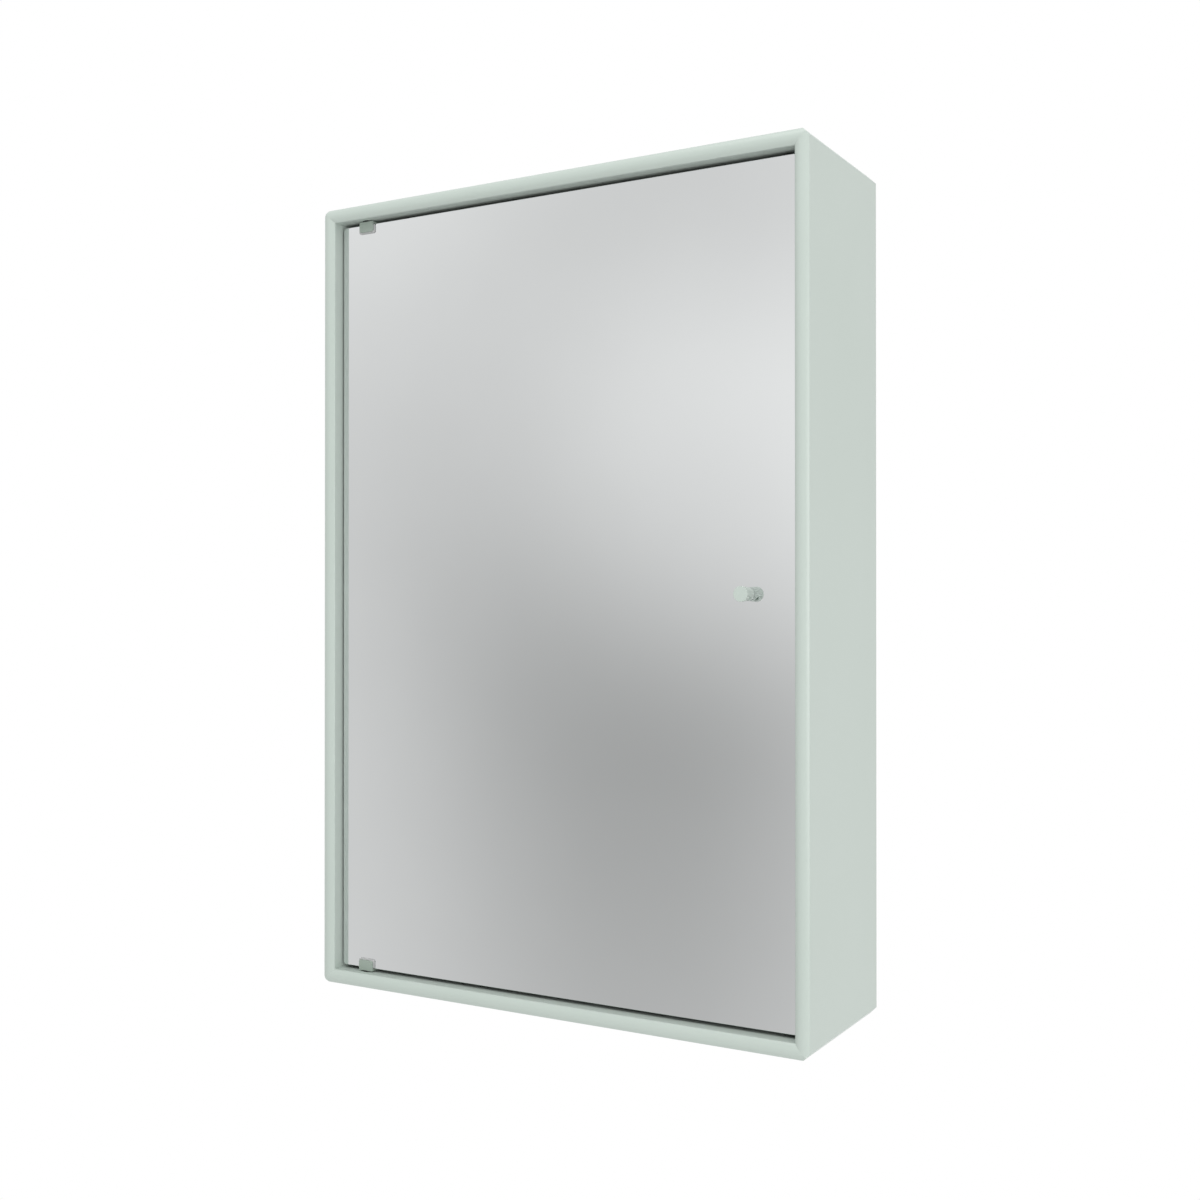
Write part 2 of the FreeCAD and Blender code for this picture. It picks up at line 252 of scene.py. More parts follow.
def board_section(bm, thickness, front):
    """A case board's cross section, its outer face at X = 0: a crowned front edge, and a rebate at the rear
    for the back board."""
    half = thickness / 2
    radius = (half ** 2 + crown_rise ** 2) / (2 * crown_rise)
    inner = bm.verts.new((-thickness, front + crown_rise, 0))
    made = bmesh.ops.spin(bm, geom=[inner], cent=(-half, front + radius, 0), axis=(0, 0, 1),
                          angle=2 * math.asin(half / radius), steps=crown_steps)
    outer = verts_of(made["geom_last"])[0]
    step = back_rebate - thickness
    last = inner
    for x, y in ((-thickness, -back_board), (step, -back_board), (step, 0), (0, 0)):
        last = bmesh.ops.extrude_vert_indiv(bm, verts=[last])["verts"][0]
        last.co = (x, y, 0)
    bmesh.ops.contextual_create(bm, geom=[last, outer])
    bmesh.ops.contextual_create(bm, geom=bm.edges[:])
    rounded(bm, [outer, inner, last], board_edge, edge_steps, "VERTICES")


def mitred_board(length, thickness, front):
    """A board along Z, mitred at both ends, with the points of the mitres cut off at 45 degrees."""
    bm = bmesh.new()
    board_section(bm, thickness, front)
    half = length / 2
    bmesh.ops.translate(bm, verts=bm.verts, vec=(0, 0, -half))
    drawn_out(bm, bm.faces[:], (0, 0, length))
    for end in (-1, 1):
        at_end = [vert for vert in bm.verts if vert.co.z * end > 0]
        slant = Matrix.Identity(4)
        slant[2][0] = end
        bmesh.ops.transform(bm, matrix=slant, verts=at_end)
        rim = sliced(bm, (0, 0, end * (half - corner_cut)), (1, 0, end))
        bmesh.ops.contextual_create(bm, geom=rim)
    return bm


def case_drills():
    """The drills for shelf pins, bushes and catch screws, and cutters for the tongues in the mitres."""
    drill = bmesh.new()
    inner_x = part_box("side_right")[0].x
    for node in ("upper_shelf_pins", "lower_shelf_pins"):
        low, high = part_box(node)
        z = low.z + shelf_pin / 2
        for side in (-1, 1):
            for y in (low.y + shelf_pin / 2, high.y - shelf_pin / 2):
                round_drill(drill, shelf_pin + shelf_pin_play, (side * (inner_x - drill_past), y, z),
                            (side * (high.x + press_play), y, z))
    low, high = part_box("top_pivot_bush")
    x, y = middle_of("top_pivot_bush")[:2]
    barrel = high.x - low.x - 2 * bush_lip
    for end in (-1, 1):
        round_drill(drill, barrel + press_play, (x, y, end * (low.z - drill_past)),
                    (x, y, end * (high.z + press_play)))
    low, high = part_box("catch_screws")
    y = middle_of("catch_screws")[1]
    head = high.y - low.y
    for z in (low.z + head / 2, high.z - head / 2):
        round_drill(drill, catch_screw + screw_play, (inner_x - drill_past, y, z), (high.x + tip_play, y, z))
    low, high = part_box("mitre_splines")
    y = middle_of("mitre_splines")[1]
    tongue = Vector((tongue_width, high.y - low.y, tongue_thickness))
    groove = Matrix.Diagonal(tongue + Vector((2 * glue_gap,) * 3)).to_4x4()
    across = half_width - tongue_from_corner
    up = half_height - tongue_from_corner
    for side in (-1, 1):
        for end in (-1, 1):
            middle = Matrix.Translation((side * across, y, end * up))
            slanted = Matrix.Rotation(math.radians(mitre_angle * side * end), 4, "Y")
            bmesh.ops.create_cube(drill, size=1, matrix=middle @ slanted @ groove)
    return drill


def placed_board(name, node, turn, middle, length, finish):
    """One board of the case, turned about the depth axis and set with its outer face at the middle point."""
    low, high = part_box("side_right")
    bm = mitred_board(length, high.x - low.x, low.y)
    turned = Matrix.Rotation(math.radians(turn), 3, "Y")
    bmesh.ops.rotate(bm, verts=bm.verts, cent=(0, 0, 0), matrix=turned)
    bmesh.ops.translate(bm, verts=bm.verts, vec=middle)
    new_piece(name, drilled(bm, case_drills()), "case", [finish], node)


def plate(low, high, corner, edge):
    """An upright plate with rounded corners and softened edges."""
    bm = bmesh.new()
    outline = [(low.x, low.z), (high.x, low.z), (high.x, high.z), (low.x, high.z)]
    drawn(bm, [(x, low.y, z) for x, z in outline])
    rounded(bm, bm.verts[:], corner, rim_steps, "VERTICES")
    drawn_out(bm, bm.faces[:], (0, high.y - low.y, 0))
    rims = [line for line in bm.edges if abs(line.verts[0].co.y - line.verts[1].co.y) < TINY]
    rounded(bm, rims, edge, edge_steps)
    return bm


def mirror_door(silver, sealed_edge_and_gap_shade):
    """The mirror: rounded corners, a fine polished bevel and the knob's hole, with silver in front
    and sealed near-black edges behind, whose black is also painted shade in the gap round the mirror."""
    low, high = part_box("mirror_glass")
    knob_x = middle_of("knob")[0]
    drill = bmesh.new()
    round_drill(drill, glass_hole, (knob_x, low.y - drill_past, 0), (knob_x, high.y + drill_past, 0))
    bm = drilled(plate(low, high, glass_corner, glass_bevel), drill)
    for face in bm.faces:
        in_front = face.calc_center_median().y < low.y + glass_bevel
        face.material_index = 0 if in_front else 1
    new_piece("mirror_door", bm, "door", [silver, sealed_edge_and_gap_shade], "mirror_glass")


def turned_knob(finish):
    """The knob, spun from half of its outline, tapering to its foot, with its screw's hole and a hole
    for a tightening bar."""
    low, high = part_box("knob")
    radius = (high.z - low.z) / 2
    axis_x = middle_of("knob")[0]
    bm = bmesh.new()
    outline = [(0, high.y), (knob_foot / 2, high.y), (radius, low.y), (0, low.y)]
    line = open_line(bm, [(axis_x + across, along, 0) for across, along in outline])
    face_rim = line[2]
    rounded(bm, [face_rim], knob_rim, rim_steps, "VERTICES")
    spun(bm, (axis_x, 0, 0), (0, 1, 0), turned_steps)
    drill = bmesh.new()
    outward = Matrix.Rotation(math.radians(bar_hole_turn), 3, "Y") @ Vector((1, 0, 0))
    middle = Vector((axis_x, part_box("mirror_glass")[0].y - bar_hole_from_glass, 0))
    round_drill(drill, bar_hole, middle + outward * (radius - bar_hole_depth),
                middle + outward * (radius + drill_past))
    screw_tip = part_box("knob_screw")[0].y
    round_drill(drill, knob_screw + press_play, (axis_x, high.y + drill_past, 0),
                (axis_x, screw_tip - tip_play, 0))
    new_piece("turned_knob", drilled(bm, drill), "door", [finish], "knob")


def hinge_clip(name, node, end, finish):
    """A clip: a channel over the edge of the glass, its plates rounded at their free corners, drilled for
    its screw and pin. It is drawn as the upper one, and an end of -1 mirrors it to the lower."""
    low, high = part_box("top_hinge_clip")
    web = high.z - clip_web
    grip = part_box("mirror_glass")[1].z - clip_front_grip
    outline = [(low.y, grip), (low.y, high.z), (high.y, high.z), (high.y, low.z)]
    outline += [(high.y - clip_rear, low.z), (high.y - clip_rear, web)]
    outline += [(low.y + clip_front, web), (low.y + clip_front, grip)]
    bm = bmesh.new()
    drawn(bm, [(low.x, y, z) for y, z in outline])
    drawn_out(bm, bm.faces[:], (high.x - low.x, 0, 0))
    free = []
    for line in bm.edges:
        first, second = [vert.co for vert in line.verts]
        through_plate = abs(first.y - second.y) > TINY and abs(first.x - second.x) < TINY
        if through_plate and max(first.z, second.z) < web - TINY:
            free.append(line)
    rounded(bm, free, clip_corner, rim_steps)
    sharp = [line for line in bm.edges
             if line.is_manifold and line.calc_face_angle() > math.radians(clip_sharp)]
    rounded(bm, sharp, clip_edge, edge_steps)
    drill = bmesh.new()
    screw_low, screw_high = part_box("top_clamp_screw")
    x, y, z = middle_of("top_clamp_screw")
    round_drill(drill, screw_high.x - screw_low.x + press_play, (x, screw_low.y - drill_past, z),
                (x, screw_high.y + drill_past, z))
    pin_low, pin_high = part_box("top_pivot_pin")
    x, y = middle_of("top_pivot_pin")[:2]
    round_drill(drill, pin_high.x - pin_low.x + press_play, (x, y, pin_low.z - drill_past),
                (x, y, high.z + drill_past))
    bm = drilled(bm, drill)
    bmesh.ops.scale(bm, verts=bm.verts, vec=(1, 1, end))
    new_piece(name, bm, "door", [finish], node)


def clear_pad(name, node, finish):
    """The clear pad that shows round a clip."""
    low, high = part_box(node)
    new_piece(name, plate(low, high, clip_corner, pad_edge), "door", [finish], node)


def shelf_pins(name, node, finish):
    """Four shelf pins with softened tips and a flat on top for the glass."""
    low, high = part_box(node)
    radius = shelf_pin / 2
    inner_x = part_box("side_right")[0].x
    bm = bmesh.new()
    for side in (-1, 1):
        for y in (low.y + radius, high.y - radius):
            tip = side * (inner_x - shelf_pin_reach)
            length = high.x - abs(tip)
            middle = Vector((side * (high.x + abs(tip)) / 2, y, low.z + radius))
            along_x = Matrix.Translation(middle) @ Matrix.Rotation(math.pi / 2, 4, "Y")
            made = bmesh.ops.create_cone(bm, cap_ends=True, segments=small_turned_steps, radius1=radius,
                                         radius2=radius, depth=length, matrix=along_x)
            rim = {line for vert in made["verts"] for line in vert.link_edges
                   if all(abs(end.co.x - tip) < TINY for end in line.verts)}
            rounded(bm, list(rim), pin_tip, edge_steps)
    bmesh.ops.holes_fill(bm, edges=sliced(bm, (0, 0, high.z), (0, 0, 1)))
    new_piece(name, bm, "case", [finish], node)


def cross_head_screw(shank, head, head_height, length, place):
    """A cheese head screw spun about Z, the underside of its head at the origin, with a cross recess
    cut from three by three squares less the corner ones, then placed."""
    bm = bmesh.new()
    reach = length - head_height
    outline = [(0, -reach), (shank / 2, -reach), (shank / 2, 0)]
    outline += [(head / 2, 0), (head / 2, head_height), (0, head_height)]
    line = open_line(bm, [(across, 0, along) for across, along in outline])
    head_rim = line[4]
    rounded(bm, [head_rim], screw_head_edge, edge_steps, "VERTICES")
    spun(bm, (0, 0, 0), (0, 0, 1), small_turned_steps)
    cross = bmesh.new()
    half_span = head * cross_span / 2
    half_arm = half_span / 3
    recess_floor = Matrix.Translation((0, 0, head_height * (1 - cross_depth)))
    bmesh.ops.create_grid(cross, x_segments=3, y_segments=3, size=half_span, matrix=recess_floor)
    squares = []
    for face in cross.faces:
        centre = face.calc_center_median()
        if min(abs(centre.x), abs(centre.y)) > half_arm:
            squares.append(face)
    bmesh.ops.delete(cross, geom=squares, context="FACES")
    drawn_out(cross, cross.faces[:], (0, 0, head_height))
    screw = drilled(bm, cross)
    bmesh.ops.transform(screw, matrix=place, verts=screw.verts)
    return screw


def knob_fixing_screw(finish):
    """The screw that holds the knob from behind, its head to the rear."""
    low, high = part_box("knob_screw")
    x, y, z = middle_of("knob_screw")
    under_head = Matrix.Translation((x, high.y - knob_screw_head, z))
    place = under_head @ Matrix.Rotation(-math.pi / 2, 4, "X")
    bm = cross_head_screw(knob_screw, high.x - low.x, knob_screw_head, high.y - low.y, place)
    new_piece("knob_fixing_screw", bm, "door", [finish], "knob_screw")


def catch_fixing_screws(finish):
    """The two screws that hold the catch to the side board, their heads to the inside of the case."""
    low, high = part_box("catch_screws")
    y = middle_of("catch_screws")[1]
    head = high.y - low.y
    both = bmesh.new()
    for z in (low.z + head / 2, high.z - head / 2):
        under_head = Matrix.Translation((low.x + catch_screw_head, y, z))
        place = under_head @ Matrix.Rotation(-math.pi / 2, 4, "Y")
        one = cross_head_screw(catch_screw, head, catch_screw_head, high.x - low.x, place)
        held = bpy.data.meshes.new("one_screw")
        one.to_mesh(held)
        one.free()
        both.from_mesh(held)
        bpy.data.meshes.remove(held)
    new_piece("catch_fixing_screws", both, "case", [finish], "catch_screws")


# Finishes

# The sockets of a Mix node that mixes colours go by number, because its other kinds use the same names
MIX_SHARE = 0
MIX_FIRST = 6
MIX_SECOND = 7
MIXED = 2


def linear(hex_colour):
    """An sRGB hex colour as the linear colour that the shaders take."""
    levels = [int(hex_colour[place:place + 2], 16) / 255 for place in (1, 3, 5)]
    return [level / 12.92 if level <= 0.04045 else ((level + 0.055) / 1.055) ** 2.4 for level in levels] + [1]


def add(tree, kind, settings=None, inputs=None):
    """Adds a node: its settings, then each input as a value or a link."""
    made = tree.nodes.new("ShaderNode" + kind)
    for name, value in (settings or {}).items():
        setattr(made, name, value)
    for key, value in (inputs or {}).items():
        if isinstance(value, bpy.types.NodeSocket):
            tree.links.new(value, made.inputs[key])
        else:
            made.inputs[key].default_value = value
    return made


def new_finish(name):
    """An empty material, its tree and the piece's own coordinates in metres."""
    finish = bpy.data.materials.new(name)
    finish.use_nodes = True
    tree = finish.node_tree
    tree.nodes.clear()
    place = add(tree, "TexCoord").outputs["Object"]
    return finish, tree, place


def sprayed_paint(name, light, dark, roughness, peel):
    """Paint sprayed in thin coats: a faint clouding of its colour, an even sheen and a soft orange peel.
    Real peel is about 1 mm across, too fine to show here, so it is drawn coarser and very low."""
    finish, tree, place = new_finish(name)
    cloud = add(tree, "TexNoise", None, {"Vector": place, "Scale": 1 / paint_cloud, "Detail": 2})
    tint = add(tree, "Mix", {"data_type": "RGBA"},
               {MIX_SHARE: cloud.outputs[0], MIX_FIRST: linear(dark), MIX_SECOND: linear(light)})
    skin = add(tree, "TexNoise", None, {"Vector": place, "Scale": 1 / peel, "Detail": 2})
    sheen = add(tree, "MapRange", None,
                {"Value": skin.outputs[0], "To Min": roughness - 0.03, "To Max": roughness + 0.03})
    bump = add(tree, "Bump", None, {"Height": skin.outputs[0], "Strength": 0.05, "Distance": 0.1 * MM})
    surface = add(tree, "BsdfPrincipled", None,
                  {"Base Color": tint.outputs[MIXED], "Roughness": sheen.outputs[0],
                   "Normal": bump.outputs[0]})
    add(tree, "OutputMaterial", None, {"Surface": surface.outputs[0]})
    return finish


def silvered_glass():
    """Silver on polished float glass: a clean sharp reflection, faintly cool, with the least wiping haze."""
    finish, tree, place = new_finish("silver_on_polished_float_glass")
    wipe = add(tree, "TexNoise", None, {"Vector": place, "Scale": 1 / wiping_marks, "Detail": 3})
    tint = add(tree, "Mix", {"data_type": "RGBA"},
               {MIX_SHARE: wipe.outputs[0], MIX_FIRST: linear("#eaecec"), MIX_SECOND: linear("#edefef")})
    haze = add(tree, "MapRange", None, {"Value": wipe.outputs[0], "To Min": 0.0, "To Max": 0.01})
    surface = add(tree, "BsdfPrincipled", None,
                  {"Base Color": tint.outputs[MIXED], "Metallic": 1.0, "Roughness": haze.outputs[0]})
    add(tree, "OutputMaterial", None, {"Surface": surface.outputs[0]})
    return finish


def sealed_glass_edge_and_gap_shade():
    """The mirror's ground edge, sealed with brushed black lacquer: near black, with a dull uneven sheen.
    The near black is also painted shade that darkens the gap round the mirror.
    """
    finish, tree, place = new_finish("black_sealing_lacquer_and_painted_gap_shade_on_ground_glass")
    strokes = add(tree, "TexNoise", None, {"Vector": place, "Scale": 1 / brush_strokes, "Detail": 4})
    # Near black: the sealing lacquer, and also painted shade for the gap round the mirror
    tint = add(tree, "Mix", {"data_type": "RGBA"},
               {MIX_SHARE: strokes.outputs[0], MIX_FIRST: linear("#0b0c0c"), MIX_SECOND: linear("#171918")})
    rough = add(tree, "MapRange", None, {"Value": strokes.outputs[0], "To Min": 0.45, "To Max": 0.65})
    surface = add(tree, "BsdfPrincipled", None,
                  {"Base Color": tint.outputs[MIXED], "Roughness": rough.outputs[0], "IOR": 1.5})
    add(tree, "OutputMaterial", None, {"Surface": surface.outputs[0]})
    return finish


def clear_float_glass():
    """Polished float glass shelves: clear through the faces, green where the eye looks into an edge,
    with the faintest dust."""
    finish, tree, place = new_finish("float_glass_clear_polished")
    facing = add(tree, "NewGeometry")
    upright = add(tree, "SeparateXYZ", None, {0: facing.outputs["Normal"]})
    flat = add(tree, "Math", {"operation": "ABSOLUTE"}, {0: upright.outputs["Z"]})
    tint = add(tree, "Mix", {"data_type": "RGBA"},
               {MIX_SHARE: flat.outputs[0], MIX_FIRST: linear("#a8d0be"), MIX_SECOND: linear("#f3faf6")})
    dust = add(tree, "TexNoise", None, {"Vector": place, "Scale": 1 / settled_dust, "Detail": 4})
    haze = add(tree, "MapRange", None, {"Value": dust.outputs[0], "To Min": 0.0, "To Max": 0.03})
    surface = add(tree, "BsdfPrincipled", None,
                  {"Base Color": tint.outputs[MIXED], "Roughness": haze.outputs[0], "IOR": 1.52,
                   "Transmission Weight": 1.0})
    add(tree, "OutputMaterial", None, {"Surface": surface.outputs[0]})
    return finish


def matt_film():
    """The safety film on the back of the mirror: matt grey-white polyethylene with a fine pressed grain.
    Real grain is under 1 mm across, too fine to show here, so it is drawn coarser."""
    finish, tree, place = new_finish("safety_film_matt_pressed")
    grain = add(tree, "TexVoronoi", None, {"Vector": place, "Scale": 1 / film_grain})
    tint = add(tree, "Mix", {"data_type": "RGBA"},
               {MIX_SHARE: grain.outputs[0], MIX_FIRST: linear("#cfd2d0"), MIX_SECOND: linear("#d6d9d7")})
    bump = add(tree, "Bump", None, {"Height": grain.outputs[0], "Strength": 0.15, "Distance": 0.05 * MM})
    surface = add(tree, "BsdfPrincipled", None,
                  {"Base Color": tint.outputs[MIXED], "Roughness": 0.6, "Normal": bump.outputs[0]})
    add(tree, "OutputMaterial", None, {"Surface": surface.outputs[0]})
    return finish


def clear_moulding():
    """Moulded clear soft plastic: pale grey and milky where it is thick, with a soft moulded sheen."""
    finish, tree, place = new_finish("clear_plastic_moulded")
    cloud = add(tree, "TexNoise", None, {"Vector": place, "Scale": 1 / plastic_cloud, "Detail": 2})
    tint = add(tree, "Mix", {"data_type": "RGBA"},
               {MIX_SHARE: cloud.outputs[0], MIX_FIRST: linear("#dcdddd"), MIX_SECOND: linear("#e8e9e9")})
    haze = add(tree, "MapRange", None, {"Value": cloud.outputs[0], "To Min": 0.2, "To Max": 0.3})
    surface = add(tree, "BsdfPrincipled", None,
                  {"Base Color": tint.outputs[MIXED], "Roughness": haze.outputs[0], "IOR": 1.45,
                   "Transmission Weight": 0.25})
    add(tree, "OutputMaterial", None, {"Surface": surface.outputs[0]})
    return finish


def moulded_nylon(name, light, dark, glow):
    """Moulded nylon: waxy, with a little light in it where it isn't dyed, and a fine spark-eroded grain.
    Real grain is under 0.1 mm, too fine to show here, so it is drawn coarser."""
    finish, tree, place = new_finish(name)
    cloud = add(tree, "TexNoise", None, {"Vector": place, "Scale": 1 / nylon_cloud, "Detail": 3})
    tint = add(tree, "Mix", {"data_type": "RGBA"},
               {MIX_SHARE: cloud.outputs[0], MIX_FIRST: linear(dark), MIX_SECOND: linear(light)})
    grain = add(tree, "TexNoise", None, {"Vector": place, "Scale": 1 / nylon_grain, "Detail": 2})
    bump = add(tree, "Bump", None, {"Height": grain.outputs[0], "Strength": 0.1, "Distance": 0.05 * MM})
    surface = add(tree, "BsdfPrincipled", None,
                  {"Base Color": tint.outputs[MIXED], "Roughness": 0.42, "IOR": 1.53,
                   "Normal": bump.outputs[0], "Subsurface Weight": glow,
                   "Subsurface Radius": (2 * MM, 2 * MM, 1.5 * MM), "Subsurface Scale": 1.0})
    add(tree, "OutputMaterial", None, {"Surface": surface.outputs[0]})
    return finish


def plated_steel():
    """Zinc-plated steel: bright blue-grey metal with a fine spangle and soft uneven gloss.
    Real plating is finer in grain than shows here, so the spangle is drawn coarser."""
    finish, tree, place = new_finish("steel_zinc_plated")
    spangle = add(tree, "TexVoronoi", None, {"Vector": place, "Scale": 1 / zinc_spangle})
    tint = add(tree, "Mix", {"data_type": "RGBA"},
               {MIX_SHARE: spangle.outputs[0], MIX_FIRST: linear("#b3b8bc"), MIX_SECOND: linear("#cfd3d6")})
    wear = add(tree, "TexNoise", None, {"Vector": place, "Scale": 1 / zinc_wear, "Detail": 4})
    rough = add(tree, "MapRange", None, {"Value": wear.outputs[0], "To Min": 0.2, "To Max": 0.38})
    surface = add(tree, "BsdfPrincipled", None,
                  {"Base Color": tint.outputs[MIXED], "Metallic": 1.0, "Roughness": rough.outputs[0]})
    add(tree, "OutputMaterial", None, {"Surface": surface.outputs[0]})
    return finish


def sintered_ferrite():
    """Ground sintered ferrite: charcoal grey, dull, with a fine dark speckle.
    Real grains are far too fine to show here, so the speckle is drawn coarser."""
    finish, tree, place = new_finish("ferrite_sintered_ground")
    speck = add(tree, "TexNoise", None, {"Vector": place, "Scale": 1 / ferrite_speck, "Detail": 5})
    tint = add(tree, "Mix", {"data_type": "RGBA"},
               {MIX_SHARE: speck.outputs[0], MIX_FIRST: linear("#26282a"), MIX_SECOND: linear("#45484b")})
    bump = add(tree, "Bump", None, {"Height": speck.outputs[0], "Strength": 0.2, "Distance": 0.05 * MM})
    surface = add(tree, "BsdfPrincipled", None,
                  {"Base Color": tint.outputs[MIXED], "Roughness": 0.7, "Normal": bump.outputs[0]})
    add(tree, "OutputMaterial", None, {"Surface": surface.outputs[0]})
    return finish


def planed_beech():
    """Planed beech tongues: pale brown with short darker flecks along the grain."""
    finish, tree, place = new_finish("beech_planed")
    along = add(tree, "Mapping", None, {"Vector": place, "Scale": (1, beech_along_grain, 1)})
    fleck = add(tree, "TexNoise", None, {"Vector": along.outputs[0], "Scale": 1 / beech_fleck, "Detail": 4})
    tint = add(tree, "Mix", {"data_type": "RGBA"},
               {MIX_SHARE: fleck.outputs[0], MIX_FIRST: linear("#b98f63"), MIX_SECOND: linear("#d9b78c")})
    bump = add(tree, "Bump", None, {"Height": fleck.outputs[0], "Strength": 0.2, "Distance": 0.1 * MM})
    surface = add(tree, "BsdfPrincipled", None,
                  {"Base Color": tint.outputs[MIXED], "Roughness": 0.6, "Normal": bump.outputs[0]})
    add(tree, "OutputMaterial", None, {"Surface": surface.outputs[0]})
    return finish


lacquer = sprayed_paint("satin_lacquer_sprayed_on_board", light="#cbd6cf", dark="#c7d3cb",
                        roughness=0.33, peel=3 * MM)
knob_paint = sprayed_paint("satin_paint_on_turned_aluminium", light="#cbd6cf", dark="#c7d3cb",
                           roughness=0.33, peel=2 * MM)
clip_paint = sprayed_paint("matt_paint_on_cast_zinc", light="#a5b1a8", dark="#9fada2",
                           roughness=0.5, peel=1.5 * MM)
silver = silvered_glass()
# The mirror's sealed edge: near black, which is also painted shade in the gap round the mirror
glass_edge = sealed_glass_edge_and_gap_shade()
shelf_glass = clear_float_glass()
film = matt_film()
clear_plastic = clear_moulding()
nylon = moulded_nylon("nylon_natural_moulded", light="#ebe9e1", dark="#dddbd2", glow=0.15)
black_nylon = moulded_nylon("nylon_black_moulded", light="#1c1d1d", dark="#131414", glow=0.0)
zinc = plated_steel()
ferrite = sintered_ferrite()
beech = planed_beech()


# Case boards, each turned from the right-hand one
placed_board("right_board", "side_right", 0, (half_width, 0, 0), 2 * half_height, lacquer)
placed_board("left_board", "side_left", 180, (-half_width, 0, 0), 2 * half_height, lacquer)
placed_board("top_board", "top_panel", -90, (0, 0, half_height), 2 * half_width, lacquer)
placed_board("bottom_board", "bottom_panel", 90, (0, 0, -half_height), 2 * half_width, lacquer)

# Door
mirror_door(silver, glass_edge)
turned_knob(knob_paint)
hinge_clip("upper_clip", "top_hinge_clip", 1, clip_paint)
hinge_clip("lower_clip", "bottom_hinge_clip", -1, clip_paint)
clear_pad("upper_clear_pad", "top_front_pad", clear_plastic)
clear_pad("lower_clear_pad", "bottom_front_pad", clear_plastic)

# Shelf pins and screws
shelf_pins("upper_pins", "upper_shelf_pins", zinc)
shelf_pins("lower_pins", "lower_shelf_pins", zinc)
knob_fixing_screw(zinc)
catch_fixing_screws(zinc)

# CAD nodes that keep their shape
kept_nodes = {
    lacquer: ["back_panel"],
    shelf_glass: ["upper_shelf", "lower_shelf"],
    film: ["mirror_backing"],
    clear_plastic: ["top_rear_pad", "bottom_rear_pad", "knob_sleeve"],
    nylon: ["catch_housing"],
    black_nylon: ["top_pivot_bush", "bottom_pivot_bush"],
    zinc: ["top_pivot_pin", "bottom_pivot_pin", "top_clamp_screw", "bottom_clamp_screw",
           "knob_washer", "strike_plate", "catch_pole_plates"],
    ferrite: ["catch_magnet"],
    beech: ["mitre_splines"],
}
for finish, names in kept_nodes.items():
    for name in names:
        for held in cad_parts[name].material_slots:
            held.material = finish


# Studio, in metres, degrees and shares of white

ambient = 0.65
floor_drop = 1.5
floor_reach = 30.0
shadow_near = 0.4
shadow_far = 2.0
glow_near = 0.6
card_radius = 3.0
card_top = 3.2
card_grey = 0.735
camera_place = (0.63737, -1.15844, -0.00922)
camera_tilt = 90.24
camera_turn = 30
camera_view = 45

# Soft pools on the card: turn from straight ahead, height, half width, half height and grey added
card_pools = {
    "light above the knob": (-20, 0.38, 1.25, 0.97, 0.345),
    "light high up": (-27.5, 1.36, 1.6, 1.5, 0.30),
    "shade below": (-25.6, 0.44, 1.15, 3.85, -0.335),
}


def seen_directly(tree):
    """One for what the camera sees, also in a reflection or through glass, and nought for what lights
    the object, straight or by way of a matt surface."""
    path = add(tree, "LightPath")
    seen = add(tree, "Math", {"operation": "MAXIMUM"},
               {0: path.outputs["Is Camera Ray"], 1: path.outputs["Is Glossy Ray"]})
    seen = add(tree, "Math", {"operation": "MAXIMUM"},
               {0: seen.outputs[0], 1: path.outputs["Is Transmission Ray"]})
    first_look = add(tree, "Math", {"operation": "LESS_THAN"}, {0: path.outputs["Diffuse Depth"], 1: 0.5})
    both = add(tree, "Math", {"operation": "MULTIPLY"}, {0: seen.outputs[0], 1: first_look.outputs[0]})
    return both.outputs[0]


def stage_piece(name, bm, finish):
    """Closes a mesh as a piece of the studio, which isn't part of the object."""
    mesh = bpy.data.meshes.new(name)
    bm.to_mesh(mesh)
    bm.free()
    mesh.materials.append(finish)
    piece = bpy.data.objects.new(name, mesh)
    bpy.context.scene.collection.objects.link(piece)
    return piece


def studio_air():
    """Even soft light on the object, and plain white to the eye."""
    world = bpy.data.worlds.new("studio")
    world.use_nodes = True
    bpy.context.scene.world = world
    tree = world.node_tree
    tree.nodes.clear()
    soft = add(tree, "Background", None, {"Color": linear("#ffffff"), "Strength": ambient})
    white = add(tree, "Background", None, {"Color": linear("#ffffff"), "Strength": 1.0})
    either = add(tree, "MixShader", None, {0: seen_directly(tree), 1: soft.outputs[0], 2: white.outputs[0]})
    add(tree, "OutputWorld", None, {"Surface": either.outputs[0]})


def studio_floor():
    """A pale floor that keeps the cabinet's shadow near it and fades into the white further off."""
    finish, tree, place = new_finish("studio_floor_pale")
    speck = add(tree, "TexNoise", None, {"Vector": place, "Scale": 1 / floor_speck, "Detail": 3})
    tint = add(tree, "Mix", {"data_type": "RGBA"},
               {MIX_SHARE: speck.outputs[0], MIX_FIRST: linear("#ededed"), MIX_SECOND: linear("#f2f2f2")})
    pale = add(tree, "BsdfDiffuse", None, {"Color": tint.outputs[MIXED]})
    glow = add(tree, "Emission", None, {"Color": linear("#ffffff"), "Strength": 1.0})
    away = add(tree, "VectorMath", {"operation": "LENGTH"}, {0: place})
    fade = add(tree, "MapRange", {"interpolation_type": "SMOOTHSTEP"},
               {"Value": away.outputs["Value"], "From Min": shadow_near, "From Max": shadow_far,
                "To Min": glow_near, "To Max": 1.0})
    share = add(tree, "Math", {"operation": "MULTIPLY"}, {0: seen_directly(tree), 1: fade.outputs[0]})
    either = add(tree, "MixShader", None, {0: share.outputs[0], 1: pale.outputs[0], 2: glow.outputs[0]})
    add(tree, "OutputMaterial", None, {"Surface": either.outputs[0]})
    bm = bmesh.new()
    bmesh.ops.create_grid(bm, x_segments=1, y_segments=1, size=floor_reach)
    floor = stage_piece("studio_floor", bm, finish)
    floor.location.z = -floor_drop


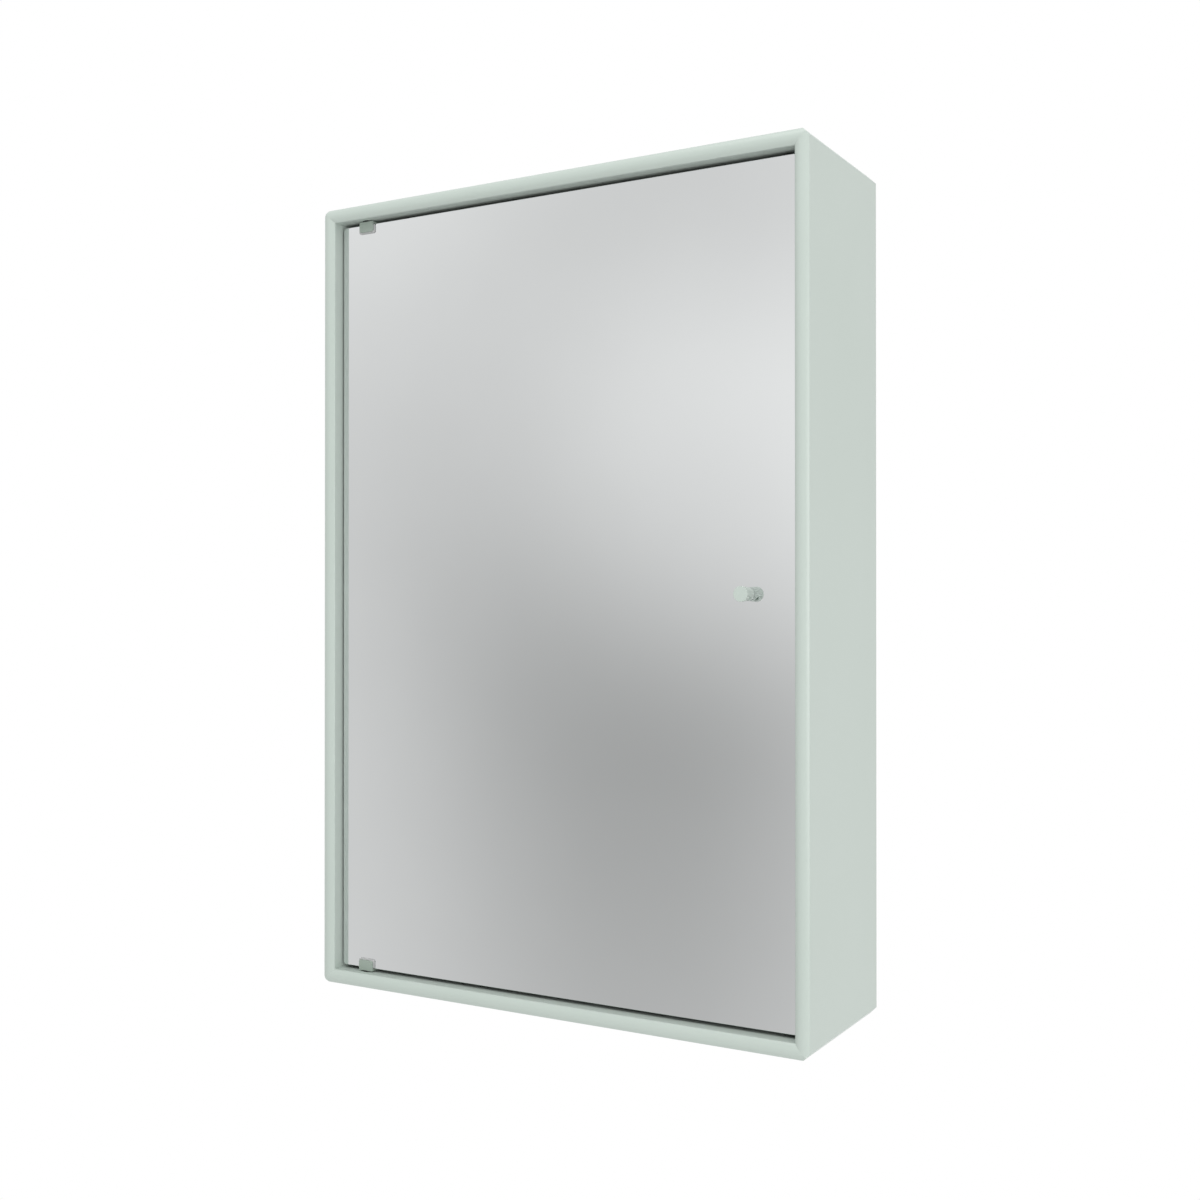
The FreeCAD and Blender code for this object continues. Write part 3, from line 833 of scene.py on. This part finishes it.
def studio_card():
    """A round grey card in front of the cabinet that only reflections see: what the mirror looks at."""
    finish, tree, place = new_finish("studio_card_grey")
    level = card_grey
    for turn, height, across, tall, grey in card_pools.values():
        angle = math.radians(turn)
        middle = (card_radius * math.sin(angle), -card_radius * math.cos(angle), height)
        local = add(tree, "VectorMath", {"operation": "SUBTRACT"}, {0: place, 1: middle})
        sized = add(tree, "VectorMath", {"operation": "DIVIDE"},
                    {0: local.outputs[0], 1: (across, across, tall)})
        ball = add(tree, "TexGradient", {"gradient_type": "SPHERICAL"}, {"Vector": sized.outputs[0]})
        pool = add(tree, "MapRange", {"interpolation_type": "SMOOTHERSTEP"},
                   {"Value": ball.outputs["Fac"], "To Max": grey})
        level = add(tree, "Math", {"operation": "ADD"}, {0: pool.outputs[0], 1: level}).outputs[0]
    shown = add(tree, "Math", {"operation": "MULTIPLY"}, {0: seen_directly(tree), 1: level})
    glow = add(tree, "Emission", None, {"Color": linear("#ffffff"), "Strength": shown.outputs[0]})
    add(tree, "OutputMaterial", None, {"Surface": glow.outputs[0]})
    bm = bmesh.new()
    foot = bm.verts.new((-card_radius, 0, -floor_drop))
    head = bm.verts.new((-card_radius, 0, card_top))
    upright = bm.edges.new((foot, head))
    bmesh.ops.spin(bm, geom=[foot, head, upright], cent=(0, 0, 0), axis=(0, 0, 1),
                   angle=math.pi, steps=card_steps)
    card = stage_piece("studio_card", bm, finish)
    card.visible_camera = False
    card.visible_diffuse = False
    card.visible_transmission = False
    card.visible_shadow = False


def soft_lamp(name, place, size, power):
    """A soft square lamp that looks at the cabinet."""
    data = bpy.data.lights.new(name, "AREA")
    data.shape = "SQUARE"
    data.size = size
    data.energy = power
    lamp = bpy.data.objects.new(name, data)
    lamp.location = place
    lamp.rotation_euler = (-Vector(place)).to_track_quat("-Z", "Y").to_euler()
    bpy.context.scene.collection.objects.link(lamp)


studio_air()
studio_floor()
studio_card()
soft_lamp("box_right_of_the_camera", place=(2.35, -1.88, 0.0), size=1.2, power=22)
soft_lamp("box_above_the_front", place=(0.0, -1.5, 2.6), size=1.6, power=27)

# The camera stands where the photograph was taken, to the right and level with the cabinet's middle
camera_data = bpy.data.cameras.new("camera")
camera_data.sensor_fit = "HORIZONTAL"
camera_data.angle = math.radians(camera_view)
camera = bpy.data.objects.new("camera", camera_data)
camera.location = camera_place
camera.rotation_euler = (math.radians(camera_tilt), 0, math.radians(camera_turn))
bpy.context.scene.collection.objects.link(camera)
bpy.context.scene.camera = camera
bpy.context.scene.view_settings.view_transform = "Standard"
